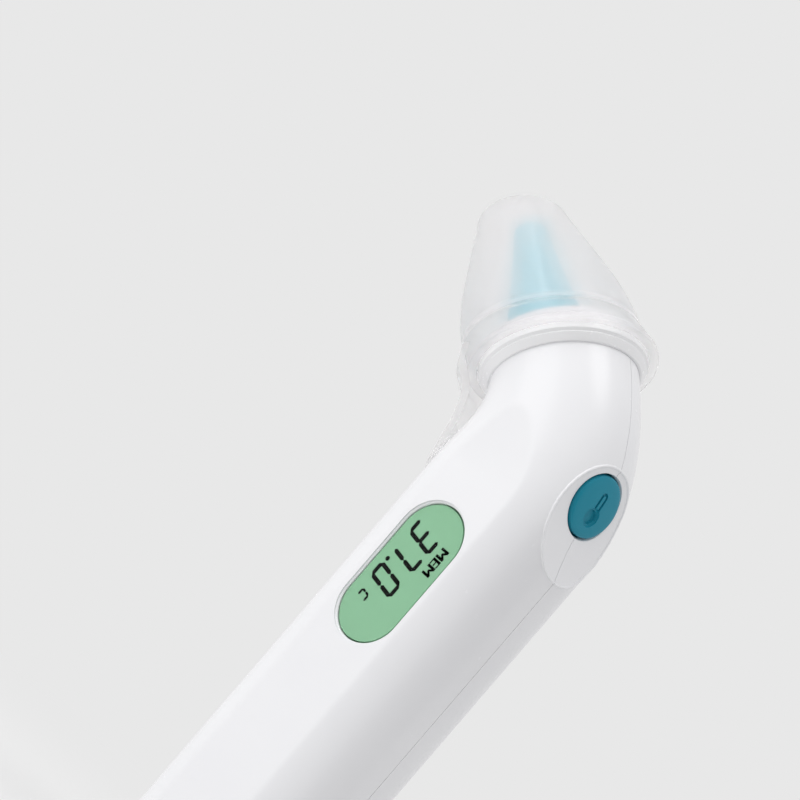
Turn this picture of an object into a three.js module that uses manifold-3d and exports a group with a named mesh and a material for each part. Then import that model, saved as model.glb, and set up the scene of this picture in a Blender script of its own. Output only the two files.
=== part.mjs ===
// Digital infrared ear thermometer, built as an assembly of separate solids.
//
// Frame: millimetres, +Z up along the handle, the flat end of the handle stands on z = 0.
// -Y is the display side, +X is the outer side of the bend, where the scan button sits.
// The head bends towards -X; its local frame has +Z along the probe, +X towards the button side.

import * as THREE from "three";
import { mergeVertices } from "three/addons/utils/BufferGeometryUtils.js";
import Module from "manifold-3d";

const wasm = await Module();
wasm.setup();

// ---------- driving dimensions ----------

const HANDLE_HALF_WIDTH = 19.1; // across the parting plane, in X
const HANDLE_HALF_BULGE = 15.5; // half depth of the round section before its faces are flattened
const FACE_HALF_DEPTH = 14.2; // the flat display face and the flat back lie this far from the parting plane
const HANDLE_ROUNDNESS = 2.3; // superellipse exponent of the handle section
const END_ROUND = 5; // rounding of the handle's flat end
const BEND_START = 105; // height where the centre line starts to bend
const BEND_RADIUS = 33;
const BEND_ANGLE = THREE.MathUtils.degToRad(53);
const HEAD_STRAIGHT = 2.1; // straight run of the centre line after the bend, up to the cap's flange
const HEAD_RADIUS = 14.5;
const WALL = 1.8;
const END_WALL = 2.4;
const SEAM = 0.15; // half of the gap between the two shells
const FIT_GAP = 0.3; // clearance between neighbouring pieces

const BEND_LENGTH = BEND_RADIUS * BEND_ANGLE;
const FLANGE_STATION = BEND_START + BEND_LENGTH + HEAD_STRAIGHT;

const WINDOW = { width: 15.4, length: 32, z: 81.9 }; // opening for the display window
const BUTTON = { radius: 6.5, x: 14.2, z: 115.5, tilt: THREE.MathUtils.degToRad(8), travel: 0.8 };
const DOOR = { halfWidth: 11.8, front: 9.2, high: 60 }; // its opening runs out through the flat end
const LAND_CURVE = 54; // radius of the shallow finger scoop round the button
const LAND_WALL = 1.8; // the shell is this thick behind the scoop
const CELL = { radius: 5.25, x: 5.75, y: 6.2, length: 43.7, nub: 0.8, nubRadius: 1.9 }; // AAA size

// ---------- materials ----------

const finish = (color, roughness, metalness = 0, more = {}) =>
  new THREE.MeshStandardMaterial({ color, roughness, metalness, ...more });

const WHITE_SHELL = finish(0xf2f2f3, 0.28);
const WHITE_MATT = finish(0xe6e6e8, 0.5);
const FROSTED = finish(0xe4e8ea, 0.4, 0, { transparent: true, opacity: 0.45 });
const CLEAR = finish(0xdfe9e4, 0.1, 0, { transparent: true, opacity: 0.3 });
const TEAL = finish(0x2e7e90, 0.38);
const PROBE_TEAL = finish(0x39a7bb, 0.35);
const LCD_GREEN = finish(0x94bca0, 0.35);
const BOARD_GREEN = finish(0x1f6b3c, 0.55);
const BLACK_PLASTIC = finish(0x17181a, 0.5);
const GREY_RUBBER = finish(0x7d8286, 0.8);
const STEEL = finish(0xb9bcc0, 0.3, 1);
const BRASS = finish(0xc8a558, 0.3, 1);
const CELL_JACKET = finish(0x3f6f8c, 0.35);
const RIBBON = finish(0xc7812f, 0.5);
const WIRE_RED = finish(0xb02a26, 0.5);
const WIRE_BLACK = finish(0x1b1b1d, 0.5);

// ---------- solids ----------

// A closed three.js geometry as a manifold solid.
function solid(geometry) {
  const bare = geometry.clone();
  bare.deleteAttribute("normal");
  bare.deleteAttribute("uv");
  const merged = mergeVertices(bare, 1e-4);
  return new wasm.Manifold(
    new wasm.Mesh({
      numProp: 3,
      vertProperties: new Float32Array(merged.attributes.position.array),
      triVerts: new Uint32Array(merged.index.array),
    }),
  );
}

// A manifold solid as a three.js geometry.
function toGeometry(made) {
  const mesh = made.getMesh();
  const positions = new Float32Array(mesh.numVert * 3);
  for (let i = 0; i < mesh.numVert; i++) {
    positions.set(mesh.vertProperties.subarray(i * mesh.numProp, i * mesh.numProp + 3), i * 3);
  }
  const geometry = new THREE.BufferGeometry();
  geometry.setAttribute("position", new THREE.BufferAttribute(positions, 3));
  geometry.setIndex(new THREE.BufferAttribute(new Uint32Array(mesh.triVerts), 1));
  const flat = geometry.toNonIndexed();
  flat.computeVertexNormals();
  return flat;
}

const joinAll = (first, ...others) => others.reduce((whole, one) => whole.add(one), first);
const cutAll = (first, ...others) => others.reduce((whole, one) => whole.subtract(one), first);

// A box solid between two opposite corners.
function block(low, high) {
  const size = high.map((value, i) => value - low[i]);
  const geometry = new THREE.BoxGeometry(...size);
  geometry.translate(...low.map((value, i) => value + size[i] / 2));
  return solid(geometry);
}

// A cylinder solid whose axis runs along +Z, or along the given axis, from start for the given length.
function rod(radius, length, start, axis = new THREE.Vector3(0, 0, 1), sides = 20, endRadius = radius) {
  const geometry = new THREE.CylinderGeometry(endRadius, radius, length, sides);
  geometry.translate(0, length / 2, 0);
  geometry.applyQuaternion(new THREE.Quaternion().setFromUnitVectors(new THREE.Vector3(0, 1, 0), axis));
  geometry.translate(...start);
  return solid(geometry);
}

// A solid of revolution about +Z from closed [radius, height] points.
function turned(points, sides = 32) {
  const profile = points.map(([radius, height]) => new THREE.Vector2(radius, height));
  const geometry = new THREE.LatheGeometry(profile, sides);
  geometry.rotateX(Math.PI / 2);
  return solid(geometry);
}

// A slot-shaped (stadium) outline, long in Y, centred on the origin.
function slotShape(width, length, steps = 20) {
  const radius = width / 2;
  const reach = length / 2 - radius;
  const shape = new THREE.Shape();
  for (const [side, from] of [[1, 0], [-1, Math.PI]]) {
    for (let i = 0; i <= steps; i++) {
      const angle = from + (Math.PI * i) / steps;
      const x = radius * Math.cos(angle);
      const y = side * reach + radius * Math.sin(angle);
      if (side === 1 && i === 0) shape.moveTo(x, y);
      else shape.lineTo(x, y);
    }
  }
  shape.closePath();
  return shape;
}

// A slot-shaped plate facing -Y, between two Y values, centred on height z.
function facePlate(width, length, z, yFront, yBack) {
  const options = { depth: yBack - yFront, bevelEnabled: false };
  const geometry = new THREE.ExtrudeGeometry(slotShape(width, length), options);
  geometry.rotateX(Math.PI / 2);
  geometry.translate(0, yBack, z);
  return solid(geometry);
}

// A round wire or strip swept along a smooth curve through points.
function swept(points, sectionShape, steps) {
  const path = new THREE.CatmullRomCurve3(points.map((point) => new THREE.Vector3(...point)));
  const options = { extrudePath: path, steps, bevelEnabled: false };
  return solid(new THREE.ExtrudeGeometry(sectionShape, options));
}

function polygonShape(radius, sides) {
  const shape = new THREE.Shape();
  for (let i = 0; i < sides; i++) {
    const angle = (2 * Math.PI * i) / sides;
    if (i === 0) shape.moveTo(radius, 0);
    else shape.lineTo(radius * Math.cos(angle), radius * Math.sin(angle));
  }
  shape.closePath();
  return shape;
}

// ---------- the body's outer form ----------

const smooth = (t) => {
  const inside = THREE.MathUtils.clamp(t, 0, 1);
  return inside * inside * (3 - 2 * inside);
};

// Where the centre line is at a station, and the way it turns there.
function centreLine(station) {
  const turn = THREE.MathUtils.clamp((station - BEND_START) / BEND_RADIUS, 0, BEND_ANGLE);
  const beyond = Math.max(0, station - BEND_START - BEND_LENGTH);
  const x = -BEND_RADIUS * (1 - Math.cos(turn)) - beyond * Math.sin(turn);
  const straight = Math.min(station, BEND_START);
  const z = straight + BEND_RADIUS * Math.sin(turn) + beyond * Math.cos(turn);
  return { x, z, turn };
}

// One point of the body's skin, grown outwards by grow, at an angle round the section.
function skinPoint(station, angle, share, grow) {
  const line = centreLine(station);
  const towardsHead = smooth(line.turn / BEND_ANGLE);
  const mix = (handle, head) => handle + (head - handle) * towardsHead;
  const down = Math.max(0, END_ROUND - Math.max(0, station));
  const inset = END_ROUND - Math.sqrt(END_ROUND * END_ROUND - down * down);
  const halfX = mix(HANDLE_HALF_WIDTH, HEAD_RADIUS) + grow - inset;
  const halfY = mix(HANDLE_HALF_BULGE, HEAD_RADIUS) + grow - inset;
  const flat = mix(FACE_HALF_DEPTH, HEAD_RADIUS + 1) + grow - inset;
  const power = 2 / mix(HANDLE_ROUNDNESS, 2);
  const across = halfX * Math.sign(Math.cos(angle)) * Math.abs(Math.cos(angle)) ** power;
  const through = halfY * Math.sign(Math.sin(angle)) * Math.abs(Math.sin(angle)) ** power;
  const side = share * across;
  return new THREE.Vector3(
    line.x + side * Math.cos(line.turn),
    share * THREE.MathUtils.clamp(through, -flat, flat),
    line.z + side * Math.sin(line.turn),
  );
}

// The closed body form between the listed stations, grown by growAt(station).
function bodyForm(growAt, stations, sides = 48) {
  const geometry = new THREE.CylinderGeometry(1, 1, 1, sides, stations.length - 1);
  const place = geometry.attributes.position;
  for (let i = 0; i < place.count; i++) {
    const row = Math.round((place.getY(i) + 0.5) * (stations.length - 1));
    const share = Math.hypot(place.getX(i), place.getZ(i));
    const angle = Math.atan2(-place.getZ(i), place.getX(i));
    const point = skinPoint(stations[row], angle, share, growAt(stations[row]));
    place.setXYZ(i, point.x, point.y, point.z);
  }
  return solid(geometry);
}

const bendStations = (count, from = BEND_START, to = BEND_START + BEND_LENGTH) =>
  Array.from({ length: count + 1 }, (_, i) => from + ((to - from) * i) / count);

const SHELL_TOP = FLANGE_STATION + 1; // the shells end inside the cap
const endStations = [0, 0.35, 1.2, 2.6, END_ROUND];
const outerForm = bodyForm(() => 0, [...endStations, 50, 96, ...bendStations(12), SHELL_TOP]);
const hollowForm = bodyForm(() => -WALL, [END_ROUND, 50, 96, ...bendStations(9), SHELL_TOP + 4], 36);
const hollowEnd = bodyForm(() => -WALL, [END_WALL, END_ROUND + 1], 36);

const AWAY = 60; // reaches past the part on every side
const frontHalf = block([-AWAY, -AWAY, -AWAY], [AWAY, -SEAM, 3 * AWAY]);
const rearHalf = block([-AWAY, SEAM, END_WALL + 1 + FIT_GAP], [AWAY, AWAY, 3 * AWAY]);
const endSlab = block([-AWAY, -AWAY, -1], [AWAY, AWAY, END_WALL + 1]);

// ---------- the button's frame: its axis points out of the finger scoop ----------

const buttonFrame = new THREE.Group();
buttonFrame.position.set(BUTTON.x, 0, BUTTON.z);
buttonFrame.rotation.set(0, Math.PI / 2 - BUTTON.tilt, 0);
buttonFrame.updateMatrixWorld(true);

// A solid made in the button's frame, moved to the part's frame. Its +Z is the way out.
function fromFrame(made, frame) {
  const geometry = toGeometry(made);
  geometry.applyMatrix4(frame.matrixWorld);
  return solid(geometry);
}

// A solid in the part's frame, moved into a frame's own coordinates.
function seenFrom(made, frame) {
  const geometry = toGeometry(made);
  geometry.applyMatrix4(frame.matrixWorld.clone().invert());
  return solid(geometry);
}

const ACROSS = new THREE.Vector3(0, 1, 0);
const inButtonFrame = (made) => fromFrame(made, buttonFrame);
const scoop = (depth) => inButtonFrame(rod(LAND_CURVE + depth, 60, [0, -30, LAND_CURVE], ACROSS, 112));
const landCutter = scoop(0);
const landBacking = outerForm.intersect(scoop(LAND_WALL));
const buttonHole = inButtonFrame(rod(BUTTON.radius + FIT_GAP, 12, [0, 0, -6], undefined, 32));
const buttonWell = inButtonFrame(rod(BUTTON.radius + 1.4, 3, [0, 0, -LAND_WALL - 3], undefined, 32));
const bodyWalls = cutAll(outerForm, hollowForm, hollowEnd).add(landBacking);

// ---------- the head's frame ----------

const flangeCentre = centreLine(FLANGE_STATION);
const headFrame = new THREE.Group();
headFrame.position.set(flangeCentre.x, 0, flangeCentre.z);
headFrame.rotation.set(0, -BEND_ANGLE, 0);
headFrame.updateMatrixWorld(true);

// ---------- housing ----------

const TRAY = { halfWidth: 13.2, front: -1.2, back: 8.5, low: 2.8, high: 62.5 };
const TRAY_SCREWS = [5.3, 60];
const CASE_SCREW = { x: -9, z: 109 };
const INTO_CASE = new THREE.Vector3(0, -1, 0);
const BACKWARDS = new THREE.Vector3(0, 1, 0);

function screwBoss(x, z, from, to, pilot) {
  const post = rod(2.3, to - from, [x, from, z], BACKWARDS, 16);
  return post.subtract(rod(pilot, to - from, [x, from + 2, z], BACKWARDS, 12));
}

const doorOpening = block([-DOOR.halfWidth, DOOR.front, -1], [DOOR.halfWidth, 30, DOOR.high]);
const shellCuts = [doorOpening, landCutter, buttonHole, buttonWell];

function makeFrontShell() {
  const walls = bodyWalls.intersect(frontHalf.add(endSlab));
  const posts = [
    ...TRAY_SCREWS.map((z) => screwBoss(0, z, -13, TRAY.front - FIT_GAP, 1.2)),
    screwBoss(CASE_SCREW.x, CASE_SCREW.z, -13, -1, 1.2),
  ];
  const opening = facePlate(WINDOW.width, WINDOW.length, WINDOW.z, -20, -8);
  return cutAll(joinAll(walls, ...posts), opening, ...shellCuts);
}

function makeRearShell() {
  const walls = bodyWalls.intersect(rearHalf);
  const post = rod(3.6, 12.2, [CASE_SCREW.x, 0.6, CASE_SCREW.z], BACKWARDS, 20);
  const seat = rod(2.4, 20, [CASE_SCREW.x, 3, CASE_SCREW.z], BACKWARDS, 20);
  const bore = rod(1.4, 20, [CASE_SCREW.x, -1, CASE_SCREW.z], BACKWARDS, 12);
  return cutAll(walls.add(post), seat, bore, ...shellCuts);
}

function makeBatteryDoor() {
  const low = [-DOOR.halfWidth + FIT_GAP, DOOR.front + FIT_GAP, -1];
  const high = [DOOR.halfWidth - FIT_GAP, 30, DOOR.high - FIT_GAP];
  const panel = bodyWalls.intersect(block(low, high));
  const grips = Array.from({ length: 5 }, (_, i) =>
    block([-6, FACE_HALF_DEPTH - 0.5, 12 + 2 * i], [6, 20, 12.9 + 2 * i]),
  );
  const tabs = [-8.8, 8.8].map((x) =>
    joinAll(
      block([x - 0.8, 11.2, 57.6], [x + 0.8, 11.75, 61.6]),
      block([x - 0.8, 11.3, 57.6], [x + 0.8, 12.9, 59.4]),
    ),
  );
  const latch = block([-3, 9.6, 4.6], [3, 12.9, 6.2]);
  return joinAll(cutAll(panel, ...grips), ...tabs, latch);
}

// ---------- display ----------

const LENS = { front: -14.1, back: -13.7 };
const DISPLAY = { halfWidth: 8.9, low: 64.4, high: 99.4, front: -11.9, back: -10.3 };

// The panel's front glass stands up into the opening, close behind the window.
function makeDisplayPanel() {
  const { halfWidth, low, high, front, back } = DISPLAY;
  const glass = facePlate(WINDOW.width - 2 * FIT_GAP, WINDOW.length - 2 * FIT_GAP, WINDOW.z, -13.6, front);
  return block([-halfWidth, front, low], [halfWidth, back, high]).add(glass);
}

function makeDisplayFrame() {
  const { halfWidth, low, high } = DISPLAY;
  const gap = FIT_GAP;
  const edge = gap + 1.3;
  const outer = block([-halfWidth - edge, -11.3, low - edge], [halfWidth + edge, -7.8, high + edge]);
  return outer.subtract(block([-halfWidth - gap, -20, low - gap], [halfWidth + gap, 0, high + gap]));
}

// ---------- battery bay ----------

const POCKET = { halfWidth: 11.6, low: 8, high: 57.6 };
const TAIL_X = [-7, 7]; // the contacts' solder tails leave the tray here

function makeBatteryTray() {
  const { halfWidth, front, back, low, high } = TRAY;
  const outer = block([-halfWidth, front, low], [halfWidth, back, high]);
  const pocket = block([-POCKET.halfWidth, 0.6, POCKET.low], [POCKET.halfWidth, 30, POCKET.high]);
  const corners = [-1, 1].map((side) =>
    block([side * halfWidth - 1.4, 6.2, low - 1], [side * halfWidth + 1.4, 12, high + 1]),
  );
  const bores = TRAY_SCREWS.map((z) => rod(1.4, 20, [0, -4, z], BACKWARDS, 12));
  const heads = TRAY_SCREWS.map((z) => rod(2.4, 20, [0, 5.6, z], BACKWARDS, 16));
  const slots = TAIL_X.map((x) => block([x - 1.3, 2.5, POCKET.high - 1], [x + 1.3, 3.5, high + 1]));
  return cutAll(outer, pocket, ...corners, ...bores, ...heads, ...slots);
}

// A cell standing along Z. up is 1 if its positive nub points up, else -1.
function makeCell(x, low, up) {
  const body = turned(
    [[0, 0], [CELL.radius - 0.5, 0], [CELL.radius, 0.5], [CELL.radius, CELL.length - 0.6],
      [CELL.radius - 0.6, CELL.length], [CELL.nubRadius, CELL.length],
      [CELL.nubRadius, CELL.length + CELL.nub], [0, CELL.length + CELL.nub]], 24,
  );
  const geometry = toGeometry(body);
  if (up < 0) geometry.rotateX(Math.PI);
  const lift = up < 0 ? low + CELL.length + CELL.nub : low;
  geometry.translate(x, CELL.y, lift);
  return solid(geometry);
}

// A conical contact spring that stands on z and rises by height; it narrows upwards.
function contactSpring(x, z, height, grow) {
  const turns = 2.5;
  const points = Array.from({ length: 26 }, (_, i) => {
    const t = i / 25;
    const angle = 2 * Math.PI * turns * t;
    const radius = 3.6 - 1.6 * t;
    return [x + radius * Math.cos(angle), CELL.y + radius * Math.sin(angle), z + grow * height * t];
  });
  return swept(points, polygonShape(0.29, 5), 50);
}

const CELL_LEFT_LOW = 12.2; // the spring under this cell stands in the gap below it
const CELL_RIGHT_LOW = 9.3;

// A contact's solder tail, up through the tray's top wall.
const solderTail = (x) => block([x - 1, 2.8, 57], [x + 1, 3.2, 63]);

function makeBridgeContact() {
  const plate = block([-10.4, 1.6, 8.3], [10.4, 9.3, 8.7]);
  return plate.add(contactSpring(-CELL.x, 8.7, 3.1, 1));
}

function makeNegativeContact() {
  const plate = block([1.4, 1.6, 56.9], [10.4, 10, 57.3]);
  return joinAll(plate, solderTail(TAIL_X[1]), contactSpring(CELL.x, 56.9, 2.7, -1));
}

const makePositiveContact = () => block([-10.4, 1.6, 56.95], [-1.4, 10, 57.35]).add(solderTail(TAIL_X[0]));

// ---------- fasteners ----------

// A pan-head screw whose head faces +Y; y is the underside of its head.
function makeScrew(x, y, z, length) {
  const head = rod(2.1, 1.4, [x, y, z], BACKWARDS, 16);
  const shank = rod(1, length, [x, y, z], INTO_CASE, 12);
  const slotA = block([x - 1.3, y + 0.7, z - 0.25], [x + 1.3, y + 3, z + 0.25]);
  const slotB = block([x - 0.25, y + 0.7, z - 1.3], [x + 0.25, y + 3, z + 1.3]);
  return cutAll(head.add(shank), slotA, slotB);
}

// ---------- scan button and its switch, in the button's frame (+Z out) ----------

const BUTTON_FOOT = -3.9; // the underside of the button's stem
const SWITCH_TOP = BUTTON_FOOT - BUTTON.travel - 0.5;
const SWITCH_BASE = SWITCH_TOP - 3;

function makeScanButton() {
  const { radius } = BUTTON;
  const flangeTop = -LAND_WALL - FIT_GAP;
  const cap = turned(
    [[0, -3.2], [radius + 0.9, -3.2], [radius + 0.9, flangeTop], [radius, flangeTop], [radius, 0.35],
      [radius - 0.2, 0.6], [radius - 0.6, 0.72], [radius * 0.6, 0.95], [radius * 0.3, 1.07], [0, 1.1]], 32,
  );
  return cap.add(rod(1.6, 1, [0, 0, BUTTON_FOOT], undefined, 12));
}

const makeSwitchActuator = () => rod(1.3, 1.8, [0, 0, BUTTON_FOOT - FIT_GAP - 1.8], undefined, 12);

function makeTactileSwitch() {
  const body = block([-3, -3, SWITCH_BASE], [3, 3, SWITCH_TOP]);
  return body.subtract(rod(1.6, 4, [0, 0, SWITCH_TOP - 2], undefined, 16));
}

const makeSwitchBoard = () =>
  block([-6.5, -5, SWITCH_BASE - FIT_GAP - 1.2], [6.5, 5, SWITCH_BASE - FIT_GAP]);

// ---------- probe head, in the head's frame (+Z along the probe) ----------

const PROBE_TILT = THREE.MathUtils.degToRad(4); // the probe leans inwards from the flange's normal
const PROBE_SHIFT = -2.2;

// The probe's outline as [radius, height], from its neck to its tip.
const PROBE_OUTLINE = [[9.3, 2.9], [9.3, 5.2], [8.5, 6], [7.9, 8], [7.1, 13], [5.4, 21], [3.95, 28.5], [3.4, 32]];
const PROBE_FOOT = { radius: 10.3, low: 2, high: 2.9 };
const PROBE_WALL = 1.3;

const probeFrame = new THREE.Group();
probeFrame.position.set(PROBE_SHIFT, 0, 0);
probeFrame.rotation.set(0, -PROBE_TILT, 0);
headFrame.add(probeFrame);
headFrame.updateMatrixWorld(true);

const inHeadFrame = (made) => fromFrame(made, headFrame);
const inProbeFrame = (made) => fromFrame(made, probeFrame);

function makeProbeCone() {
  const { radius, low, high } = PROBE_FOOT;
  const foot = [[8, low], [radius, low], [radius, high]];
  const tip = [[3, 32.8], [2.3, 33], [2.3, 31.4]];
  const inside = PROBE_OUTLINE.slice(2, -1).map(([radius, height]) => [radius - PROBE_WALL, height]).reverse();
  return turned([...foot, ...PROBE_OUTLINE, ...tip, ...inside, foot[0]], 32);
}

// The lens that closes the probe's tip.
const makeProbeLens = () => turned([[0, 31.7], [2, 31.7], [2, 32.6], [1.4, 32.8], [0, 32.9]], 20);

function makeSensorCan() {
  return turned([[0, 26.4], [2.5, 26.4], [2.5, 26.8], [2.05, 26.8], [2.05, 29.6], [1.2, 29.6], [1.2, 29.3],
    [0, 29.3]], 24);
}

// The metal block that holds the sensor and evens out its temperature.
function makeSensorHolder() {
  return turned([[0, 14], [3.8, 14], [4.6, 15], [4, 18.6], [2.5, 26.1], [0, 26.1]], 24);
}

// The white base that closes the head round the probe's neck.
function makeProbeBase() {
  const disc = turned([[13.3, 1.3], [14.4, 1.3], [14.4, 4], [13.8, 4.6], [0, 4.6], [0, 2.7], [13.3, 2.7],
    [13.3, 1.3]], 40);
  const neckHole = rod(PROBE_OUTLINE[0][0] + FIT_GAP, 9, [0, 0, -1], undefined, 32);
  const footRoom = rod(PROBE_FOOT.radius + FIT_GAP, 4.2, [0, 0, -1], undefined, 32);
  const room = inProbeFrame(neckHole.add(footRoom));
  return disc.subtract(seenFrom(room, headFrame));
}

// The flared ring round the top of the housing, under the cap's flange.
const RING = { inner: HEAD_RADIUS + FIT_GAP, outer: 16.5, low: -3.9, high: 1.1 };

function makeHeadRing() {
  const { inner, outer, low, high } = RING;
  return turned([[inner, low], [inner + 0.3, low], [16.1, -2.45], [15.9, -2.3], [16.1, -2.1], [outer, -1.8],
    [outer, high - 0.3], [outer - 0.3, high], [inner, high], [inner, low]], 48);
}

// ---------- probe cap: an oblique frosted bell with a finger tongue ----------

const CAP_LEAN = -0.143; // the bell's centre moves inwards this much per unit of height
const CAP_BASE_SHIFT = -1.2;
const CAP_STRAIGHT = 1.5; // the bell's mouth stays square to the head up to here
const CAP_WALL = 1.1;
const CAP_OUTLINE = [[17.7, 0], [17.7, 4], [17.4, 8], [16.7, 12.2], [15.2, 17.7], [12.3, 25.6], [9.7, 32.5],
  [8.8, 35.1], [8, 36.4], [6.4, 37.5], [4.2, 38.3], [0, 38.8]];
const FLANGE = { radius: 18.65, low: -0.9, high: 0.4 };
const MOUTH_RADIUS = 16.85;
const TONGUE_TIP = 98.5;
const TONGUE_WALL = 1.2;
// How far the tongue's outer face stands off the housing, as [station, distance].
const TONGUE_STANDOFF = [[90, 0.9], [99, 0.9], [105, 1.3], [115, 2.6], [122, 3.9], [128, 4.8], [133, 5.6],
  [FLANGE_STATION, 6.2], [FLANGE_STATION + 3.5, 5.2]];

// The bell leans: every ring of it is shifted inwards, the more the higher it lies.
function leaning(made) {
  const geometry = toGeometry(made);
  const place = geometry.attributes.position;
  for (let i = 0; i < place.count; i++) {
    const height = Math.max(0, place.getZ(i) - CAP_STRAIGHT);
    place.setX(i, place.getX(i) + CAP_BASE_SHIFT * smooth(height / 4) + CAP_LEAN * height);
  }
  return solid(geometry);
}

function makeCapBell() {
  const { radius, low, high } = FLANGE;
  const inside = CAP_OUTLINE.slice(1, -3).map(([r, height]) => [r - CAP_WALL, height - CAP_WALL * 0.4]);
  const rim = turned([[0, low], [radius - 0.4, low], [radius, low + 0.4], [radius, high - 0.4],
    [radius - 0.4, high], [0, high]], 48);
  const bell = leaning(turned([[0, 0], ...CAP_OUTLINE], 48)).add(rim);
  const hollow = leaning(turned([[0, -3], [MOUTH_RADIUS, -3], [MOUTH_RADIUS, CAP_STRAIGHT], ...inside,
    [5.6, 36.5], [3.6, 37.2], [0, 37.6]], 48));
  return bell.subtract(hollow);
}

function tongueStandoff(station) {
  const next = TONGUE_STANDOFF.findIndex(([at]) => at >= station);
  if (next < 1) return TONGUE_STANDOFF.at(next)[1]; // before the first station, or past the last
  const [[from, low], [to, high]] = TONGUE_STANDOFF.slice(next - 1, next + 1);
  return low + ((high - low) * (station - from)) / (to - from);
}

const tongueGap = (station) => Math.max(FIT_GAP, tongueStandoff(station) - TONGUE_WALL);

function makeCapTongue() {
  const stations = [95, 99, 102, ...bendStations(12), FLANGE_STATION, FLANGE_STATION + 3.5];
  const outside = bodyForm(tongueStandoff, stations);
  const inside = bodyForm(tongueGap, [90, ...stations, FLANGE_STATION + 5]);
  const outline = new THREE.Shape();
  outline.moveTo(-14, 137);
  outline.lineTo(-13, 122);
  outline.bezierCurveTo(-12, 108, -9, TONGUE_TIP, 0, TONGUE_TIP);
  outline.bezierCurveTo(9, TONGUE_TIP, 12, 108, 13, 122);
  outline.lineTo(14, 137);
  outline.closePath();
  const geometry = new THREE.ExtrudeGeometry(outline, { depth: 30, bevelEnabled: false, curveSegments: 10 });
  geometry.rotateX(Math.PI / 2);
  geometry.rotateZ(-Math.PI / 2);
  geometry.translate(-12, 0, 0);
  return outside.subtract(inside).intersect(solid(geometry));
}

const makeProbeCap = () => inHeadFrame(makeCapBell()).add(makeCapTongue());

// ---------- assembly ----------

const thermometer = new THREE.Group();

function addPart(name, made, material) {
  const mesh = new THREE.Mesh(toGeometry(made), material);
  mesh.name = name;
  thermometer.add(mesh);
}

addPart("front_shell", makeFrontShell(), WHITE_SHELL);
addPart("rear_shell", makeRearShell(), WHITE_SHELL);
addPart("battery_door", makeBatteryDoor(), WHITE_SHELL);

const lensWidth = WINDOW.width - 2 * FIT_GAP;
const lensLength = WINDOW.length - 2 * FIT_GAP;
const { halfWidth: panelHalf, high: panelHigh } = DISPLAY;
addPart("display_window", facePlate(lensWidth, lensLength, WINDOW.z, LENS.front, LENS.back), CLEAR);
addPart("display_frame", makeDisplayFrame(), BLACK_PLASTIC);
addPart("display_panel", makeDisplayPanel(), LCD_GREEN);
addPart("display_backlight", block([-panelHalf, -10, 67.5], [panelHalf, -8.6, panelHigh]), WHITE_MATT);
addPart("display_connector", block([-8.6, -10, 64.7], [8.6, -7.8, 66.9]), GREY_RUBBER);

addPart("main_board", block([-13, -7.5, 63], [13, -6.3, 104]), BOARD_GREEN);
addPart("controller_chip", block([-4, -6, 84], [4, -4.7, 92]), BLACK_PLASTIC);
addPart("buzzer", rod(6, 3.2, [0, -6, 74], BACKWARDS, 24), BLACK_PLASTIC);

addPart("battery_tray", makeBatteryTray(), WHITE_MATT);
addPart("battery_left", makeCell(-CELL.x, CELL_LEFT_LOW, 1), CELL_JACKET);
addPart("battery_right", makeCell(CELL.x, CELL_RIGHT_LOW, -1), CELL_JACKET);
addPart("contact_bridge", makeBridgeContact(), STEEL);
addPart("contact_negative", makeNegativeContact(), STEEL);
addPart("contact_positive", makePositiveContact(), STEEL);

TRAY_SCREWS.forEach((z, i) => addPart(`tray_screw_${i + 1}`, makeScrew(0, 5.9, z, 14), STEEL));
addPart("case_screw", makeScrew(CASE_SCREW.x, 3.3, CASE_SCREW.z, 11), STEEL);

const wires = { red: [TAIL_X[0], WIRE_RED], black: [TAIL_X[1], WIRE_BLACK] };
for (const [colour, [x, material]] of Object.entries(wires)) {
  const route = [[x, 3, 64], [x, 2, 66.5], [x * 1.2, -1, 69], [x * 1.3, -5.4, 69.5]];
  addPart(`supply_wire_${colour}`, swept(route, polygonShape(0.6, 6), 14), material);
}

addPart("scan_button", inButtonFrame(makeScanButton()), TEAL);
addPart("switch_actuator", inButtonFrame(makeSwitchActuator()), BLACK_PLASTIC);
addPart("tactile_switch", inButtonFrame(makeTactileSwitch()), STEEL);
addPart("switch_board", inButtonFrame(makeSwitchBoard()), BOARD_GREEN);
const switchRoute = [[5.9, -3.8, 106.7], [5.2, -4.5, 104.6], [5, -5, 102], [6, -5.4, 98]];
addPart("switch_lead", swept(switchRoute, polygonShape(0.7, 6), 14), GREY_RUBBER);

addPart("head_ring", inHeadFrame(makeHeadRing()), WHITE_SHELL);
addPart("probe_base", inHeadFrame(makeProbeBase()), WHITE_SHELL);
addPart("probe_cone", inProbeFrame(makeProbeCone()), PROBE_TEAL);
addPart("probe_lens", inProbeFrame(makeProbeLens()), CLEAR);
addPart("sensor_can", inProbeFrame(makeSensorCan()), STEEL);
addPart("sensor_holder", inProbeFrame(makeSensorHolder()), BRASS);
const leadEnd = new THREE.Vector3(0, 0, 13.6).applyMatrix4(probeFrame.matrixWorld);
const neck = new THREE.Vector3(0, 0, 0).applyMatrix4(probeFrame.matrixWorld);
const leadRoute = [[-1, -5.2, 96], [-1, -4, 103], [-1, -0.5, 112], [-5, 0, 122], neck.toArray(), leadEnd.toArray()];
addPart("sensor_lead", swept(leadRoute, polygonShape(0.9, 6), 30), RIBBON);
addPart("probe_cap", makeProbeCap(), FROSTED);

export default thermometer;
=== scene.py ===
# Looks of a handheld infrared ear thermometer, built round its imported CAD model.
# Row frame: metres, +Z up the handle, -Y the display side, +X the outer side of the bend.
# Lengths below are in millimetres unless a comment says otherwise.

import math

import bpy
from mathutils import Matrix, Vector


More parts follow.
